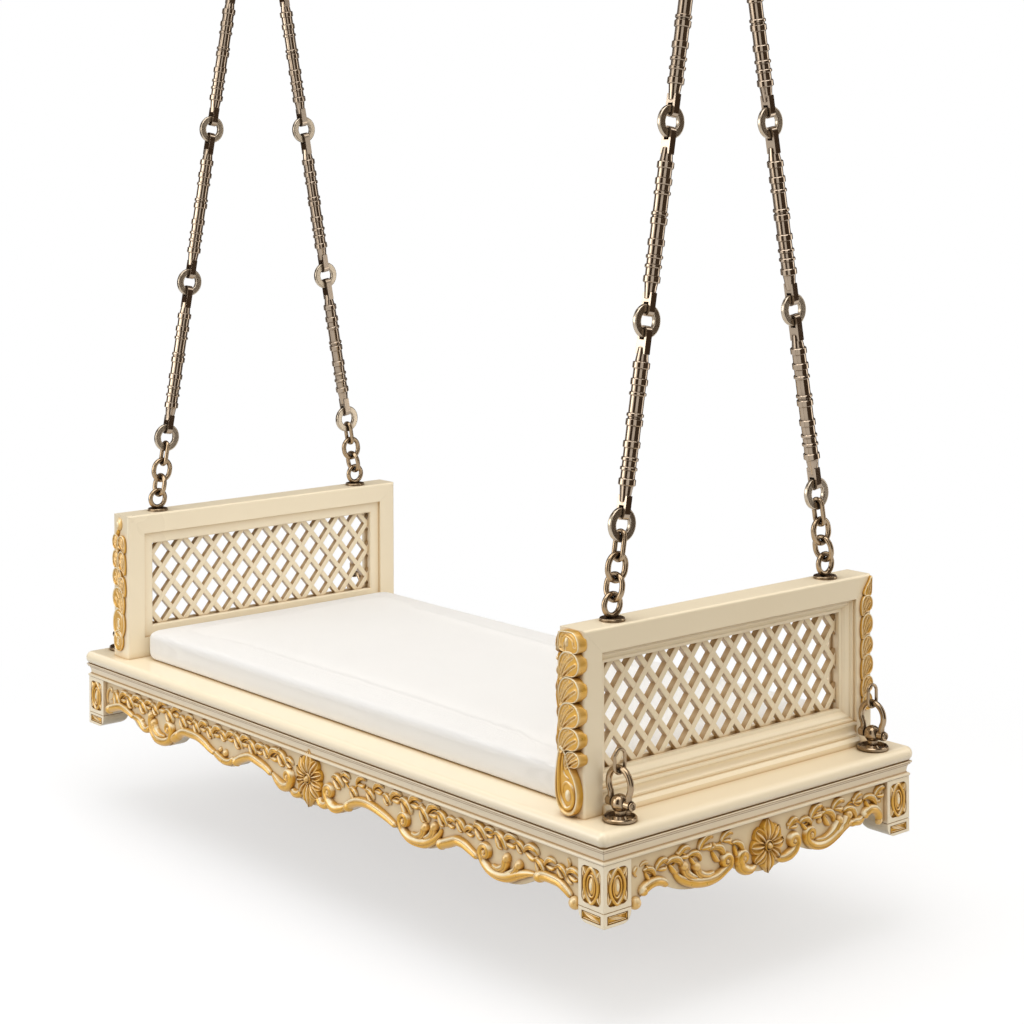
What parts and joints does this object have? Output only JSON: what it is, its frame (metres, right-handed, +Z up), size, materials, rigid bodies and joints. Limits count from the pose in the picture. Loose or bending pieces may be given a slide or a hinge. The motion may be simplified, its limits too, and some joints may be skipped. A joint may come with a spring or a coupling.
{
  "type": "jhoola swing",
  "caption": "Hanging platform seat with carved gilded aprons, a lattice frame at each end and a mattress, on chains of turned rods and flat rings from ceiling hooks.",
  "frame": {"origin": "on the ceiling plane, midway between the two ceiling brackets", "axes": "+X along the seat towards its right end, -Y towards the front, +Z up"},
  "size_m": [1.54, 0.716, 1.981],
  "materials": {
    "ivory_paint": "satin ivory paint",
    "apron_paint": "satin beige paint",
    "gilding": "antiqued gilding",
    "plain_wood": "bare wood",
    "mattress_cloth": "plain woven cotton",
    "antique_brass": "polished antique",
    "steel": "zinc plated"
  },
  "bodies": {
    "ceiling": {"ceiling_brackets": "antique_brass", "hinge_pins": "antique_brass", "pin_nuts": "steel"},
    "left_hook_body": {"left_hook": "antique_brass"},
    "right_hook_body": {"right_hook": "antique_brass"},
    "left_hanger": {"left_top_ring": "antique_brass", "left_chain_rods": "antique_brass", "left_chain_rings": "antique_brass", "left_chain_links": "antique_brass"},
    "right_hanger": {"right_top_ring": "antique_brass", "right_chain_rods": "antique_brass", "right_chain_rings": "antique_brass", "right_chain_links": "antique_brass"},
    "seat": {"deck_panel": "plain_wood", "nosing_front": "ivory_paint", "nosing_back": "ivory_paint", "nosing_ends": "ivory_paint", "cornice_front": "ivory_paint", "cornice_back": "ivory_paint", "cornice_ends": "ivory_paint", "apron_front": "apron_paint", "apron_back": "apron_paint", "apron_ends": "apron_paint", "corner_posts": "ivory_paint", "corner_medallions": "gilding", "cross_bearers": "plain_wood", "frame_bolts": "steel", "rosettes": "gilding", "edging_front": "gilding", "edging_back": "gilding", "edging_ends": "gilding", "shoe_mouldings": "ivory_paint", "mattress": "mattress_cloth", "eye_plates": "antique_brass", "anchor_studs": "antique_brass", "anchor_pins": "antique_brass", "left_front_stile": "ivory_paint", "left_back_stile": "ivory_paint", "left_top_rail": "ivory_paint", "left_bottom_rail": "ivory_paint", "left_inner_moulding": "ivory_paint", "left_jali": "ivory_paint", "left_front_carving": "gilding", "left_back_carving": "gilding", "right_front_stile": "ivory_paint", "right_back_stile": "ivory_paint", "right_top_rail": "ivory_paint", "right_bottom_rail": "ivory_paint", "right_inner_moulding": "ivory_paint", "right_jali": "ivory_paint", "right_front_carving": "gilding", "right_back_carving": "gilding"},
    "left_front_shackle_body": {"left_front_shackle": "antique_brass", "left_front_spare_link": "antique_brass"},
    "left_back_shackle_body": {"left_back_shackle": "antique_brass", "left_back_spare_link": "antique_brass"},
    "right_front_shackle_body": {"right_front_shackle": "antique_brass", "right_front_spare_link": "antique_brass"},
    "right_back_shackle_body": {"right_back_shackle": "antique_brass", "right_back_spare_link": "antique_brass"}
  },
  "joints": [
    {"name": "left_swing", "type": "hinge", "parent": "ceiling", "child": "left_hook_body", "pos_m": [-0.67, 0, -0.038], "axis": [1, 0, 0], "range_deg": [-25, 25]},
    {"name": "right_swing", "type": "hinge", "parent": "ceiling", "child": "right_hook_body", "pos_m": [0.67, 0, -0.038], "axis": [1, 0, 0], "range_deg": [-25, 25]},
    {"name": "left_sway", "type": "hinge", "parent": "left_hook_body", "child": "left_hanger", "pos_m": [-0.67, 0, -0.11785], "axis": [0, 1, 0], "range_deg": [-10, 10]},
    {"name": "right_sway", "type": "hinge", "parent": "right_hook_body", "child": "right_hanger", "pos_m": [0.67, 0, -0.11785], "axis": [0, 1, 0], "range_deg": [-10, 10]},
    {"name": "seat_level", "type": "hinge", "parent": "left_hanger", "child": "seat", "pos_m": [-0.67, 0, -1.51479], "axis": [0, 1, 0], "range_deg": [-10, 10]},
    {"name": "left_front_shackle_turn", "type": "hinge", "parent": "seat", "child": "left_front_shackle_body", "pos_m": [-0.7335, -0.29, -1.81204], "axis": [1, 0, 0], "range_deg": [-80, 80]},
    {"name": "left_back_shackle_turn", "type": "hinge", "parent": "seat", "child": "left_back_shackle_body", "pos_m": [-0.7335, 0.29, -1.81204], "axis": [1, 0, 0], "range_deg": [-10, 80]},
    {"name": "right_front_shackle_turn", "type": "hinge", "parent": "seat", "child": "right_front_shackle_body", "pos_m": [0.7335, -0.29, -1.81204], "axis": [1, 0, 0], "range_deg": [-80, 80]},
    {"name": "right_back_shackle_turn", "type": "hinge", "parent": "seat", "child": "right_back_shackle_body", "pos_m": [0.7335, 0.29, -1.81204], "axis": [1, 0, 0], "range_deg": [-10, 80]}
  ],
  "couplings": [
    {"joint": "right_swing", "follows": "left_swing", "ratio": 1},
    {"joint": "right_sway", "follows": "left_sway", "ratio": 1},
    {"joint": "seat_level", "follows": "left_sway", "ratio": -1}
  ]
}
